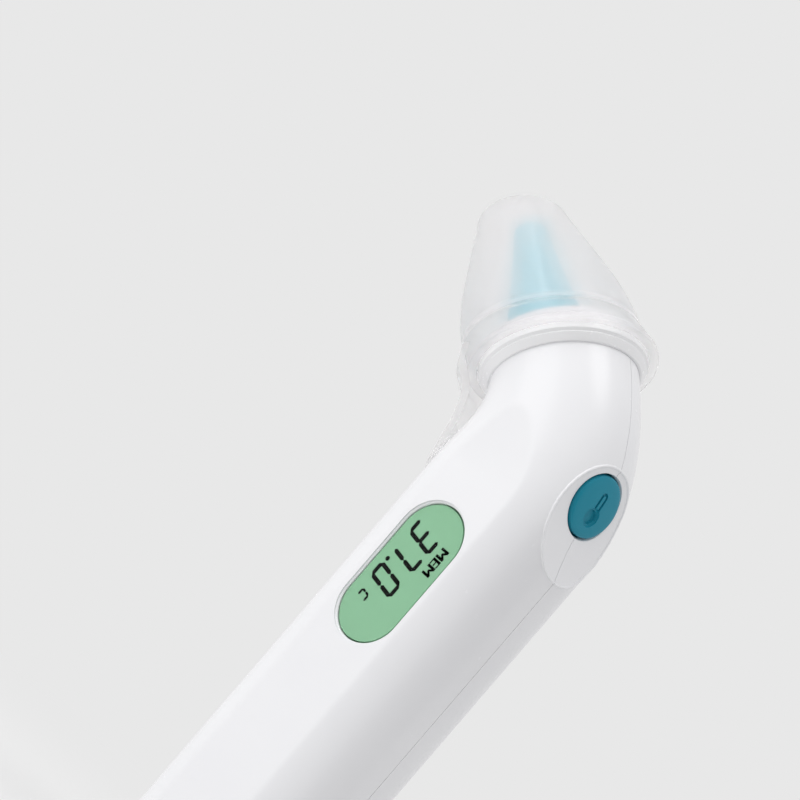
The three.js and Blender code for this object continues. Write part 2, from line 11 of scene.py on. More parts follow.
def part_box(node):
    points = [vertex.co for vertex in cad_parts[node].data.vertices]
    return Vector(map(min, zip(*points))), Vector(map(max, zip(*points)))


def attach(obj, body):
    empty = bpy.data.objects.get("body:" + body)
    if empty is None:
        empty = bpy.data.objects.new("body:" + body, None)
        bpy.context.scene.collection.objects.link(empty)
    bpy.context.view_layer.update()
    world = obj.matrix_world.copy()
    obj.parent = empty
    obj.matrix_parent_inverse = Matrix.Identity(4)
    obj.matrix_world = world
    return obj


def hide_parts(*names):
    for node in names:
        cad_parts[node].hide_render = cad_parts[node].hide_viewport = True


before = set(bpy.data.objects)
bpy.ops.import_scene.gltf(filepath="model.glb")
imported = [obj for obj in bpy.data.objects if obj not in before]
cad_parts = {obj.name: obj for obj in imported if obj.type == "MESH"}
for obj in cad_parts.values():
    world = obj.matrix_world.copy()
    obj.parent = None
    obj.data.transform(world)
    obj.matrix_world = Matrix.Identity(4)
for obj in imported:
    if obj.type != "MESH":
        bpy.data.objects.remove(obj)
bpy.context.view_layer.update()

MM = 0.001

# ---------- sizes of the moulded form ----------

HANDLE_HALF_WIDTH = 19.1
HANDLE_HALF_BULGE = 15.5  # half the depth the section would have if its faces weren't flattened
FACE_HALF_DEPTH = 14.2
HANDLE_ROUNDNESS = 2.3  # the section's exponent: 2 is an ellipse, more is squarer
END_ROUND = 5.0
BEND_START = 105.0
BEND_RADIUS = 33.0
BEND_ANGLE = math.radians(53)
HEAD_STRAIGHT = 2.1
HEAD_RADIUS = 14.5
WALL = 1.8
END_WALL = 2.4
SEAM = 0.06  # half the width of the fine parting line between the shells
SEAM_FLOOR = 0.005  # the same for the inner half of the wall, where the shells meet
FRONT_FOOT, REAR_FOOT = 3.4, 3.7  # the foot below belongs to the front shell; the rear shell starts above it
BEND_LENGTH = BEND_RADIUS * BEND_ANGLE
FLANGE_STATION = BEND_START + BEND_LENGTH + HEAD_STRAIGHT
BUTTON_RADIUS = 6.5
BUTTON_TILT = math.radians(8)
BUTTON_X, BUTTON_HEIGHT = 14.2, 115.5  # the middle of the button, level with the scoop's floor
SCOOP_CURVE = 54.0  # radius of the shallow finger scoop round the button
WINDOW_WIDTH, WINDOW_LENGTH, WINDOW_HEIGHT = 15.4, 32.0, 81.9
DOOR_HALF_WIDTH, DOOR_INNER, DOOR_TOP = 11.5, 9.5, 59.7
DOOR_GAP = 0.3
GRIP_COUNT, GRIP_PITCH, LOWEST_GRIP = 5, 2, 12.45
ASIDE, ABOVE, BELOW = 60, 200, -1  # cutters run this far, clear of the body

# ---------- modelling helpers ----------


def select_only(piece):
    """Makes a piece the only selected and the active one."""
    bpy.ops.object.select_all(action="DESELECT")
    piece.select_set(True)
    bpy.context.view_layer.objects.active = piece


def edit(piece):
    """Opens a piece's mesh with every vertex selected."""
    select_only(piece)
    bpy.ops.object.mode_set(mode="EDIT")
    bpy.ops.mesh.select_mode(type="VERT")
    bpy.ops.mesh.select_all(action="SELECT")


def leave_edit():
    bpy.ops.object.mode_set(mode="OBJECT")


def settle(piece, name):
    """Names a piece and puts its place into its mesh, in metres."""
    piece.name = piece.data.name = name
    piece.data.transform(piece.matrix_world)
    piece.matrix_world = Matrix.Identity(4)
    return piece


def use_modifier(piece, kind, **settings):
    """Adds a modifier with these settings and applies it at once."""
    modifier = piece.modifiers.new(kind.title(), kind)
    for key, value in settings.items():
        setattr(modifier, key, value)
    select_only(piece)
    bpy.ops.object.modifier_apply(modifier=modifier.name)


def combine(piece, other, how="DIFFERENCE"):
    """Cuts, joins or crops a piece with another one, which is used up."""
    use_modifier(piece, "BOOLEAN", object=other, operation=how, solver="EXACT")
    bpy.data.objects.remove(other)
    return piece


def smooth(piece, degrees=30):
    select_only(piece)
    bpy.ops.object.shade_smooth_by_angle(angle=math.radians(degrees))
    return piece


def moved(piece, matrix):
    piece.data.transform(matrix)
    return piece


def copied(piece, name):
    twin = piece.copy()
    twin.data = piece.data.copy()
    twin.name = twin.data.name = name
    bpy.context.scene.collection.objects.link(twin)
    return twin


def block(low, high):
    """A box between two corners, in millimetres."""
    centre = [(a + b) / 2 * MM for a, b in zip(low, high)]
    size = [(b - a) * MM for a, b in zip(low, high)]
    bpy.ops.object.select_all(action="DESELECT")
    bpy.ops.mesh.primitive_cube_add(size=1, location=centre, scale=size)
    return settle(bpy.context.object, "block")


def turned(name, outline, steps=128):
    """A solid or shell of revolution: an outline of (radius, height) points spun about Z."""
    mesh = bpy.data.meshes.new(name)
    points = [(radius * MM, 0, height * MM) for radius, height in outline]
    mesh.from_pydata(points, [(i, i + 1) for i in range(len(points) - 1)], [])
    piece = bpy.data.objects.new(name, mesh)
    bpy.context.scene.collection.objects.link(piece)
    edit(piece)
    bpy.ops.mesh.spin(steps=steps, angle=2 * math.pi, center=(0, 0, 0), axis=(0, 0, 1))
    bpy.ops.mesh.select_all(action="SELECT")
    bpy.ops.mesh.remove_doubles(threshold=0.002 * MM)
    bpy.ops.mesh.normals_make_consistent(inside=False)
    leave_edit()
    return piece


def rounded(outline, corner=0.3, steps=5):
    """The outline with each inner corner turned into a small arc."""
    soft = [outline[0]]
    for before, here, after in zip(outline, outline[1:], outline[2:]):
        here = Vector(here)
        back, on = Vector(before) - here, Vector(after) - here
        reach = min(corner, back.length * 0.45, on.length * 0.45)
        start, end = here + back.normalized() * reach, here + on.normalized() * reach
        for i in range(steps + 1):
            t = i / steps
            soft.append(tuple(start * (1 - t) ** 2 + here * 2 * t * (1 - t) + end * t * t))
    soft.append(outline[-1])
    return soft


def curved(outline, steps=6):
    """A smooth curve through the outline's points."""
    ends = [outline[0], *outline, outline[-1]]
    line = []
    for a, b, c, d in zip(ends, ends[1:], ends[2:], ends[3:]):
        for i in range(steps):
            t = i / steps
            line.append(tuple(
                0.5 * (2 * q + (r - p) * t + (2 * p - 5 * q + 4 * r - s) * t**2
                       + (3 * q - p - 3 * r + s) * t**3)
                for p, q, r, s in zip(a, b, c, d)
            ))
    line.append(outline[-1])
    return line


def slot_plate(width, length, low, high, flare=0.0):
    """A slot-shaped plate, long in Z, thick in -Y from low to high, widened at its outer end by flare."""
    bpy.ops.object.select_all(action="DESELECT")
    bpy.ops.mesh.primitive_circle_add(vertices=96, radius=width / 2 * MM, fill_type="NGON")
    piece = bpy.context.object
    reach = (length - width) / 2 * MM
    for vertex in piece.data.vertices:
        vertex.co.y += math.copysign(reach, vertex.co.y)
    edit(piece)
    bpy.ops.mesh.extrude_region_move(TRANSFORM_OT_translate={"value": (0, 0, (high - low - 2 * flare) * MM)})
    for i in range(6 if flare else 0):
        here, there = [math.radians(90 * (i + k) / 6) for k in (0, 1)]
        out = flare * 1.2 * (math.cos(here) - math.cos(there))
        up = flare * (math.sin(there) - math.sin(here))
        bpy.ops.mesh.extrude_region_move(TRANSFORM_OT_translate={"value": (0, 0, up * MM)})
        grow = [1 + 2 * out / width, 1 + 2 * out / length, 1]
        bpy.ops.transform.resize(value=grow)
    if flare:
        bpy.ops.mesh.extrude_region_move(TRANSFORM_OT_translate={"value": (0, 0, 4 * flare * MM)})
    bpy.ops.mesh.select_all(action="SELECT")
    bpy.ops.mesh.normals_make_consistent(inside=False)
    leave_edit()
    lying = Matrix(((1, 0, 0, 0), (0, 0, -1, -low * MM), (0, 1, 0, 0), (0, 0, 0, 1)))
    return moved(settle(piece, "slot_plate"), lying)


# ---------- the body's outer form ----------


def ease(t):
    """A smooth step from 0 to 1, level at both ends."""
    t = min(1.0, max(0.0, t))
    return t * t * (3 - 2 * t)


def centre_line(station):
    """(x, z, turn) of the body's centre line at a distance along it."""
    turn = min(BEND_ANGLE, max(0.0, (station - BEND_START) / BEND_RADIUS))
    beyond = max(0.0, station - BEND_START - BEND_LENGTH)
    x = -BEND_RADIUS * (1 - math.cos(turn)) - beyond * math.sin(turn)
    z = min(station, BEND_START) + BEND_RADIUS * math.sin(turn) + beyond * math.cos(turn)
    return x, z, turn


def skin_point(station, angle, grow):
    """A point of the body's surface, pushed out by grow."""
    x, z, turn = centre_line(station)
    head = ease(turn / BEND_ANGLE)
    down = max(0.0, END_ROUND - max(0.0, station))
    inset = END_ROUND - math.sqrt(END_ROUND**2 - down**2)
    wide = HANDLE_HALF_WIDTH + (HEAD_RADIUS - HANDLE_HALF_WIDTH) * head + grow - inset
    deep = HANDLE_HALF_BULGE + (HEAD_RADIUS - HANDLE_HALF_BULGE) * head + grow - inset
    flat = FACE_HALF_DEPTH + (HEAD_RADIUS + 1 - FACE_HALF_DEPTH) * head + grow - inset
    power = 2 / (HANDLE_ROUNDNESS + (2 - HANDLE_ROUNDNESS) * head)
    c, s = math.cos(angle), math.sin(angle)
    side = wide * math.copysign(abs(c) ** power, c)
    through = deep * math.copysign(abs(s) ** power, s)
    through = min(flat, max(-flat, through))
    return Vector((x + side * math.cos(turn), through, z + side * math.sin(turn))) * MM


def body_form(name, stations, grow=lambda station: 0.0, sides=160):
    """The closed body form. A grid is wrapped round the bent centre line, ring by ring."""
    bpy.ops.object.select_all(action="DESELECT")
    bpy.ops.mesh.primitive_grid_add(x_subdivisions=sides, y_subdivisions=len(stations) - 1, size=1)
    piece = bpy.context.object
    for vertex in piece.data.vertices:
        ring = round((vertex.co.y + 0.5) * (len(stations) - 1))
        angle = 2 * math.pi * round((vertex.co.x + 0.5) * sides) / sides
        vertex.co = skin_point(stations[ring], angle, grow(stations[ring]))
    edit(piece)
    bpy.ops.mesh.remove_doubles(threshold=0.002 * MM)
    bpy.ops.mesh.select_all(action="DESELECT")
    bpy.ops.mesh.select_non_manifold()
    bpy.ops.mesh.fill_holes(sides=0)
    bpy.ops.mesh.select_all(action="SELECT")
    bpy.ops.mesh.normals_make_consistent(inside=False)
    leave_edit()
    piece.name = piece.data.name = name
    return piece


def spread(start, end, count):
    """Evenly spaced values from start to end."""
    return [start + (end - start) * i / count for i in range(count + 1)]


# Stations are distances along the centre line, from the foot.
END_STATIONS = [END_ROUND * (1 - math.cos(math.radians(a))) for a in range(0, 91, 10)]
BEND_STATIONS = spread(BEND_START, BEND_START + BEND_LENGTH, 40)
SHELL_TOP = FLANGE_STATION + 1
INNER_STATIONS = [END_ROUND, 50, 96, *BEND_STATIONS[::2], SHELL_TOP + 4]

# ---------- frames of the button and of the head ----------

PROBE_SHIFT, PROBE_TILT = -2.2, math.radians(-4)  # the probe stands a little off the head's axis


def place(x, y, z, turn=0.0, axis="Y"):
    """A turn about an axis, then a shift in millimetres."""
    return Matrix.Translation(Vector((x, y, z)) * MM) @ Matrix.Rotation(turn, 4, axis)


BUTTON_PLACE = place(BUTTON_X, 0, BUTTON_HEIGHT, math.pi / 2 - BUTTON_TILT)
flange_x, flange_z, _ = centre_line(FLANGE_STATION)
HEAD_PLACE = place(flange_x, 0, flange_z, -BEND_ANGLE)
PROBE_PLACE = HEAD_PLACE @ place(PROBE_SHIFT, 0, 0, PROBE_TILT)

# ---------- housing ----------


def scoop(depth):
    """The round cutter of the finger scoop, sunk by depth."""
    radius = SCOOP_CURVE + depth
    wheel = turned("scoop", [(0, -30), (radius, -30), (radius, 30), (0, 30)], 320)
    return moved(wheel, BUTTON_PLACE @ place(0, 0, SCOOP_CURVE, math.pi / 2, "X"))


def scoop_lip(walls):
    """The fine soft lip that runs along the scoop's edge: a thin rod, sunk so that it hardly shows."""
    steps, sunk, thickness = 120, 0.16, 0.34
    inverse = BUTTON_PLACE.inverted()
    hub = Vector((0, 0, SCOOP_CURVE * MM))
    # The edge is read off the cut walls, as the distance from the button's axis at each angle round it.
    found = []
    for vertex in walls.data.vertices:
        spot = inverse @ vertex.co
        flat = Vector((spot.x, 0, spot.z))
        if abs((flat - hub).length - hub.z) < 0.01 * MM and spot.z < 10 * MM:
            found.append((math.atan2(spot.y, spot.x), math.hypot(spot.x, spot.y)))
    found.sort()
    rim = [(angle + turn, reach) for turn in (-2 * math.pi, 0, 2 * math.pi) for angle, reach in found]
    path = []
    for i in range(steps):
        angle = -math.pi + 2 * math.pi * i / steps
        near = [reach for at, reach in rim if abs(at - angle) < 0.09]
        reach = sum(near) / len(near)
        x, y = reach * math.cos(angle), reach * math.sin(angle)
        path.append(BUTTON_PLACE @ Vector((x, y, hub.z - math.sqrt(hub.z**2 - x * x) - sunk * MM)))
    line = bpy.data.curves.new("scoop_lip", "CURVE")
    line.dimensions = "3D"
    line.bevel_depth, line.bevel_resolution = thickness * MM, 3
    spline = line.splines.new("POLY")
    spline.points.add(len(path) - 1)
    for point, spot in zip(spline.points, path):
        point.co = [*spot, 1]
    spline.use_cyclic_u = True
    lip = bpy.data.objects.new("scoop_lip", line)
    bpy.context.scene.collection.objects.link(lip)
    select_only(lip)
    bpy.ops.object.convert(target="MESH")
    return bpy.context.object


def housing_walls():
    """The full moulded wall, before it is split into two shells and a door."""
    walls = body_form("walls", END_STATIONS + spread(8, 103, 20) + BEND_STATIONS + [SHELL_TOP])
    hollow = body_form("hollow", [END_WALL, *INNER_STATIONS], lambda station: -WALL, 96)
    combine(hollow, scoop(WALL))
    combine(walls, scoop(0))
    combine(walls, scoop_lip(walls), "UNION")
    combine(walls, hollow)
    r = BUTTON_RADIUS
    hole = turned("hole", [(0, -6), (r + 0.38, -6), (r + 0.38, -0.25), (r + 0.42, -0.05),
                           (r + 0.52, 0.15), (r + 0.6, 0.6), (r + 0.6, 6), (0, 6)])
    combine(walls, moved(hole, BUTTON_PLACE))
    # Behind it the well is wider, for the rim that holds the button in.
    well = turned("well", [(0, -4.8), (r + 1.4, -4.8), (r + 1.4, -1.8), (0, -1.8)])
    return combine(walls, moved(well, BUTTON_PLACE))


def parting_groove(low, high):
    """The cutter for one side of the parting line, which goes only half way through the wall."""
    core = body_form("core", [2.5, 3.5, *INNER_STATIONS], lambda station: -WALL / 2, 96)
    combine(core, scoop(WALL / 2))
    return combine(block(low, high), core)


def doorway():
    """The cutter of the door's opening, a fine gap wider than the door all round."""
    half_width, top = DOOR_HALF_WIDTH + DOOR_GAP, DOOR_TOP + DOOR_GAP
    return block([-half_width, DOOR_INNER - DOOR_GAP, BELOW], [half_width, 30, top])


def make_front_shell(walls):
    shell = copied(walls, "front_shell_skin")
    combine(shell, block([-ASIDE, -SEAM_FLOOR, FRONT_FOOT], [ASIDE, ASIDE, ABOVE]))
    combine(shell, parting_groove([-ASIDE, -SEAM, FRONT_FOOT], [ASIDE, 1, ABOVE]))
    combine(shell, doorway())
    window = slot_plate(WINDOW_WIDTH, WINDOW_LENGTH, 8, FACE_HALF_DEPTH + 0.02, flare=0.35)
    return combine(shell, moved(window, place(0, 0, WINDOW_HEIGHT)))


def make_rear_shell(walls):
    shell = copied(walls, "rear_shell_skin")
    combine(shell, block([-ASIDE, SEAM_FLOOR, REAR_FOOT], [ASIDE, ASIDE, ABOVE]), "INTERSECT")
    combine(shell, parting_groove([-ASIDE, -1, REAR_FOOT], [ASIDE, SEAM, ABOVE]))
    combine(shell, doorway())
    # The case screw sits deep in a post.
    seat = turned("seat", [(0, 3), (2.4, 3), (2.4, 11.4), (3.2, 15), (3.2, 30), (0, 30)], 64)
    post = turned("post", [(0, 3.4), (3.6, 3.4), (3.6, 13), (0, 13)], 64)
    facing_back = place(-9, 0, 109, -math.pi / 2, "X")
    combine(shell, moved(post, facing_back), "UNION")
    return combine(shell, moved(seat, facing_back))


def make_battery_door(walls):
    door = copied(walls, "battery_door_skin")
    outer = block([-DOOR_HALF_WIDTH, DOOR_INNER, BELOW], [DOOR_HALF_WIDTH, 30, DOOR_TOP])
    combine(door, outer, "INTERSECT")
    for i in range(GRIP_COUNT):
        grip = slot_plate(1.0, 12, -20, -FACE_HALF_DEPTH + 0.5)
        combine(door, moved(grip, place(0, 0, LOWEST_GRIP + GRIP_PITCH * i, math.pi / 2)))
    # Two hooks reach up inside the shell, and a rib stiffens the door's foot.
    for x in (-8.8, 8.8):
        combine(door, block([x - 0.8, 11.2, 57.6], [x + 0.8, 11.75, 61.6]), "UNION")
        combine(door, block([x - 0.8, 11.3, 57.6], [x + 0.8, 12.9, 59.4]), "UNION")
    return combine(door, block([-3, 9.6, 4.6], [3, 12.9, 6.2]), "UNION")


# ---------- scan button ----------


def make_scan_button():
    """A shallow dome on a skirt, with a hidden rim at its foot and a sign engraved in its face."""
    r = BUTTON_RADIUS
    dome = curved([(r - 0.5, 0.74), (r * 0.8, 0.86), (r * 0.5, 1.0), (r * 0.25, 1.08), (0, 1.1)])
    edge = [(r, 0.3), (r - 0.06, 0.5), (r - 0.22, 0.65)]
    button = turned("scan_button_cap", [(0, -3.9), (1.6, -3.9), (1.6, -3.2), (r + 0.9, -3.2),
                                        (r + 0.9, -2.1), (r, -2.1), *edge, *dome])
    # The engraved sign is a plain thermometer: a stem round a raised core, and a deeper bulb below it.
    sign = slot_plate(1.9, 6.8, 0.6, 6)
    combine(sign, moved(slot_plate(0.7, 3.3, 0.5, 7), place(0, 0, 1.15)))
    for radius, low in ((1.9, 0.6), (1.4, 0.1)):
        wide = radius + 0.15
        bulb = turned("bulb", [(0, low), (radius, low), (wide, low + 0.3), (wide, 6), (0, 6)], 48)
        combine(sign, moved(bulb, place(0, 0, -2.1, math.pi / 2, "X")), "UNION")
    # It is made facing -Y, so it is turned to face out of the button, stem towards the head.
    outward = Matrix.Rotation(math.pi / 2, 4, "Z") @ Matrix.Rotation(-math.pi / 2, 4, "X")
    combine(button, moved(sign, outward))
    return moved(button, BUTTON_PLACE)


# ---------- head: ring, base, probe ----------


def make_head_ring():
    """The white collar inside the cap's mouth, with a fine groove round its flared lower edge."""
    inner, outer = HEAD_RADIUS + 0.005, 16.5
    outline = [(inner, 1.1), (inner, -3.9), (15.0, -3.9), (16.1, -2.45), (15.9, -2.3), (16.1, -2.1),
               (outer, -1.8), (outer, 1.1), (inner, 1.1)]
    return moved(turned("head_ring_skin", rounded(outline, 0.12)), HEAD_PLACE)


def make_probe_base():
    """The white disc inside the ring, with a hole in which the probe stands."""
    outline = [(0, 2.7), (13.3, 2.7), (13.3, 1.3), (14.4, 1.3), (14.4, 4.2), (13.9, 4.6), (0, 4.6)]
    base = moved(turned("probe_base_skin", rounded(outline, 0.25)), HEAD_PLACE)
    room = turned("room", [(0, -1), (10.6, -1), (10.6, 3.2), (9.6, 3.2), (9.6, 8), (0, 8)])
    return combine(base, moved(room, PROBE_PLACE))


def make_probe():
    """The flared, hollow probe, with a foot flange that the base holds down."""
    outside = curved([(9.3, 5.2), (8.5, 6.1), (7.9, 8), (7.1, 13), (5.4, 21), (3.95, 28.5), (3.42, 31.6)], 8)
    tip = [(3.3, 32.2), (3.1, 32.6), (2.8, 32.82), (2.5, 32.85), (2.3, 32.6), (2.3, 31.4)]
    inside = curved([(2.3, 31.4), (2.65, 28.5), (4.1, 21), (5.8, 13), (6.6, 8), (7.2, 6), (8, 2)], 4)
    probe = turned("probe_skin", [(8, 2), (10.3, 2), (10.3, 2.9), (9.3, 2.9), *outside, *tip, *inside[1:]])
    return moved(probe, PROBE_PLACE)


# ---------- probe cap ----------

CAP_LEAN = -0.143  # sideways shift for each millimetre of height
CAP_BASE_SHIFT = -1.2
CAP_STRAIGHT = 1.5  # the bell's mouth stays square to the head up to here
CAP_WALL = 1.1
MOUTH_RADIUS = 16.85
CAP_OUTLINE = [(17.7, 0), (17.7, 4), (17.4, 8), (16.7, 12.2), (15.2, 17.7), (12.3, 25.6), (9.7, 32.5),
               (8.8, 35.1), (8, 36.4), (6.4, 37.5), (4.2, 38.3)]
TONGUE_WALL = 1.2
# (station, how far the tongue stands off the body there)
TONGUE_STANDOFF = [(90, 0.9), (99, 0.9), (105, 1.3), (115, 2.6), (122, 3.9), (128, 4.8), (133, 5.6),
                   (FLANGE_STATION, 6.2), (FLANGE_STATION + 3.5, 5.2)]


def leaned(piece):
    """Leans a turned bell inwards: each ring is shifted, the more the higher it lies."""
    for vertex in piece.data.vertices:
        height = max(0.0, vertex.co.z / MM - CAP_STRAIGHT)
        vertex.co.x += (CAP_BASE_SHIFT * ease(height / 4) + CAP_LEAN * height) * MM
    return piece


def tongue_standoff(station):
    """How far the tongue's outer face stands off the body at a station."""
    for (start, low), (end, high) in zip(TONGUE_STANDOFF, TONGUE_STANDOFF[1:]):
        if station <= end:
            return low + (high - low) * (station - start) / (end - start)
    return TONGUE_STANDOFF[-1][1]


def make_tongue():
    """The finger tongue: a thin shell over the body's back edge, cropped to a rounded outline."""
    stations = [95, 97, 99, 102, *BEND_STATIONS, FLANGE_STATION, FLANGE_STATION + 3.5]
    tongue = body_form("tongue", stations, tongue_standoff)
    inner = body_form("inner", [90, *stations, FLANGE_STATION + 5],
                      lambda station: max(0.3, tongue_standoff(station) - TONGUE_WALL))
    combine(tongue, inner)
    edge = curved([(0, 98.5), (4.6, 99.3), (8.2, 102.3), (10.6, 107), (12.2, 113), (13, 122), (14, 137)])
    outline = edge + [(-y, z) for y, z in reversed(edge[1:])]
    mesh = bpy.data.meshes.new("tongue_outline")
    mesh.from_pydata([(-50 * MM, y * MM, z * MM) for y, z in outline], [], [range(len(outline))])
    cutter = bpy.data.objects.new("tongue_outline", mesh)
    bpy.context.scene.collection.objects.link(cutter)
    edit(cutter)
    bpy.ops.mesh.extrude_region_move(TRANSFORM_OT_translate={"value": (38 * MM, 0, 0)})
    bpy.ops.mesh.select_all(action="SELECT")
    bpy.ops.mesh.normals_make_consistent(inside=False)
    leave_edit()
    return combine(tongue, cutter, "INTERSECT")


def make_probe_cap():
    """A thin leaning bell with a rolled flange round its mouth and the finger tongue down one side."""
    outside = curved(CAP_OUTLINE, 5) + [(2.8, 38.6), (1.4, 38.76), (0, 38.8)]
    bell = leaned(turned("probe_cap_skin", [(0, 0), *outside]))
    rim = turned("rim", rounded([(0, -0.9), (18.65, -0.9), (18.65, 0.4), (0, 0.4)], 0.4))
    combine(bell, rim, "UNION")
    inside = curved([(r - CAP_WALL, z - CAP_WALL * 0.4) for r, z in CAP_OUTLINE[1:-2]], 5)
    # A small bead runs round the inside, where the collar stops the cap.
    bead = [(16.6, 5.1), (16.3, 5.25), (16.15, 5.6), (16.3, 5.95), (16.55, 6.1)]
    above = [(r, z) for r, z in inside if z > 6.3]
    hollow = turned("hollow", [(0, -3), (MOUTH_RADIUS, -3), (MOUTH_RADIUS, CAP_STRAIGHT), inside[0],
                               *bead, *above, (5.6, 36.5), (3.6, 37.2), (0, 37.6)])
    combine(bell, leaned(hollow))
    moved(bell, HEAD_PLACE)
    return combine(bell, make_tongue(), "UNION")


# ---------- display ----------

SLANT = math.tan(math.radians(8))
# Segments run clockwise from a, at the top, to f; g is the middle one.
SEGMENTS = {"3": "abgcd", "7": "abc", "0": "abcdef", "C": "afed"}
# Text on the display reads down the handle from this height, with its top towards the button side.
READING_TOP = 115
READING = Matrix(((0, 1, 0, 0), (0, 0, -1, -13.62 * MM), (-1, 0, 0, 0), (0, 0, 0, 1)))


def make_bar(length, bar):
    """One display segment: a thin bar with pointed ends, lying along X."""
    bpy.ops.object.select_all(action="DESELECT")
    bpy.ops.mesh.primitive_cube_add(size=1, scale=(length * MM, bar * MM, 0.03 * MM))
    piece = settle(bpy.context.object, "bar")
    select_only(piece)
    bpy.ops.object.mode_set(mode="EDIT")
    bpy.ops.mesh.select_mode(type="EDGE")
    bpy.ops.mesh.select_all(action="DESELECT")
    leave_edit()
    for side in piece.data.edges:
        a, b = [piece.data.vertices[i].co for i in side.vertices]
        side.select = abs(a.z - b.z) > 0.01 * MM
    # Only the bar's upright edges are bevelled.
    bpy.ops.object.mode_set(mode="EDIT")
    bpy.ops.mesh.bevel(offset=bar * 0.46 * MM, segments=1)
    leave_edit()
    return piece


def make_digit(figure, left, base, width=3.8, height=7.8, bar=0.9):
    """The bars of one figure. Its lower left corner is at (left, base) in reading direction."""
    w, h = width - bar, height - bar
    # Each segment's middle, and whether it stands upright.
    spots = {"a": (w / 2, h, 0), "g": (w / 2, h / 2, 0), "d": (w / 2, 0, 0), "b": (w, h * 0.75, 1),
             "c": (w, h * 0.25, 1), "f": (0, h * 0.75, 1), "e": (0, h * 0.25, 1)}
    bars = []
    for name in SEGMENTS[figure]:
        x, y, upright = spots[name]
        piece = make_bar((h / 2 if upright else w) - 0.1 * bar, bar)
        moved(piece, place(x, y, 0, upright * math.pi / 2, "Z"))
        moved(piece, Matrix(((1, SLANT, 0, 0), (0, 1, 0, 0), (0, 0, 1, 0), (0, 0, 0, 1))))
        bars.append(moved(piece, place(left + bar / 2, base + bar / 2, 0)))
    return bars


def make_word(text, left, base, height):
    """A word in the plain built-in face, with capitals of this height."""
    bpy.ops.object.select_all(action="DESELECT")
    bpy.ops.object.text_add()
    word = bpy.context.object
    word.data.body = text
    size_per_capital = 1.37
    word.data.size = height * size_per_capital * MM
    word.data.extrude = 0.015 * MM
    bpy.ops.object.convert(target="MESH")
    word = settle(bpy.context.object, "word")
    return moved(word, place(left, base, 0))


def make_display_marks():
    """A temperature with its unit letter and the memory word, as one piece of ink."""
    marks = make_digit("3", 22.6, -5.4) + make_digit("7", 27.1, -5.5) + make_digit("0", 33.6, -5.7)
    marks += make_digit("C", 39.9, -4.9, 1.9, 2.6, 0.5)
    point = turned("point", [(0, -0.015), (0.5, -0.015), (0.5, 0.015), (0, 0.015)], 24)
    marks.append(moved(point, place(32.7, -4.9, 0)))
    # The word is laid three times, a hair apart, which gives its strokes their weight.
    marks += [make_word("MEM", 23.9 + shift, 3.75, 2.3) for shift in (0, 0.13, 0.26)]
    select_only(marks[0])
    for mark in marks:
        mark.select_set(True)
    bpy.ops.object.join()
    joined = bpy.context.object
    joined.name = joined.data.name = "display_marks"
    return moved(joined, place(0, 0, READING_TOP) @ READING)


def make_window():
    """The clear window, with a finely rounded outer edge."""
    window = slot_plate(WINDOW_WIDTH - 0.6, WINDOW_LENGTH - 0.6, 13.7, 14.1)
    moved(window, place(0, 0, WINDOW_HEIGHT))
    window.name = window.data.name = "display_window_lens"
    use_modifier(window, "BEVEL", width=0.1 * MM, segments=3, limit_method="ANGLE", angle_limit=0.9)
    return window


# ---------- cells ----------


def make_cell(name, node, up):
    """A small battery cell in its node's place, with crimped edges and a raised terminal."""
    low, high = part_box(node)
    length = (high.z - low.z) / MM
    outline = [(0, 0), (4.75, 0), (5.25, 0.5), (5.25, 42.9), (5.0, 43.35), (4.3, 43.5), (4.2, 43.2),
               (2.2, 43.2), (1.9, 43.6), (1.9, length - 0.3), (1.6, length), (0, length)]
    cell = turned(name, rounded(outline, 0.25, 3), 64)
    if not up:
        moved(cell, place(0, 0, length, math.pi, "X"))
    return moved(cell, Matrix.Translation(((low.x + high.x) / 2, (low.y + high.y) / 2, low.z)))


# ---------- materials ----------


def linear(code):
    """An sRGB hex colour as linear RGBA."""
    parts = [int(code[i:i + 2], 16) / 255 for i in (1, 3, 5)]
    return [c / 12.92 if c <= 0.04045 else ((c + 0.055) / 1.055) ** 2.4 for c in parts] + [1.0]


def add(tree, kind, links=None, inputs=None, **settings):
    """Adds a node with its settings, input values and links from other nodes' outputs."""
    node = tree.nodes.new(kind)
    for key, value in settings.items():
        setattr(node, key, value)
    for key, value in (inputs or {}).items():
        node.inputs[key].default_value = value
    for key, (other, output) in (links or {}).items():
        tree.links.new(other.outputs[output], node.inputs[key])
    return node


def per_mm(size):
    """The texture scale that gives features of this size in millimetres."""
    return 1 / (size * MM)


def new_material(name):
    """An empty material, its node tree and the source of its texture coordinates."""
    material = bpy.data.materials.new(name)
    material.use_nodes = True
    tree = material.node_tree
    tree.nodes.clear()
    return material, tree, add(tree, "ShaderNodeTexCoord")


def noise(tree, spot, size, detail):
    """Noise with features of this size in millimetres, over the piece's own coordinates."""
    return add(tree, "ShaderNodeTexNoise", {"Vector": spot}, {"Scale": per_mm(size), "Detail": detail})


def between(tree, factor, low, high):
    """A mix of two colours by a factor from 0 to 1."""
    mix = add(tree, "ShaderNodeMix", {"Factor": factor}, data_type="RGBA")
    mix.inputs[6].default_value, mix.inputs[7].default_value = linear(low), linear(high)
    return mix


def span(tree, value, low, high):
    """A value from 0 to 1, stretched to run from low to high."""
    return add(tree, "ShaderNodeMapRange", {"Value": value}, {"To Min": low, "To Max": high})


def relief_of(tree, height, strength, depth):
    """A bump of this depth in millimetres."""
    return add(tree, "ShaderNodeBump", {"Height": height}, {"Strength": strength, "Distance": depth * MM})


def finish_material(tree, colour, gloss, inputs, **links):
    surface = {"Base Color": (colour, 2), "Roughness": (gloss, "Result"), **links}
    shader = add(tree, "ShaderNodeBsdfPrincipled", surface, inputs)
    add(tree, "ShaderNodeOutputMaterial", {"Surface": (shader, "BSDF")})


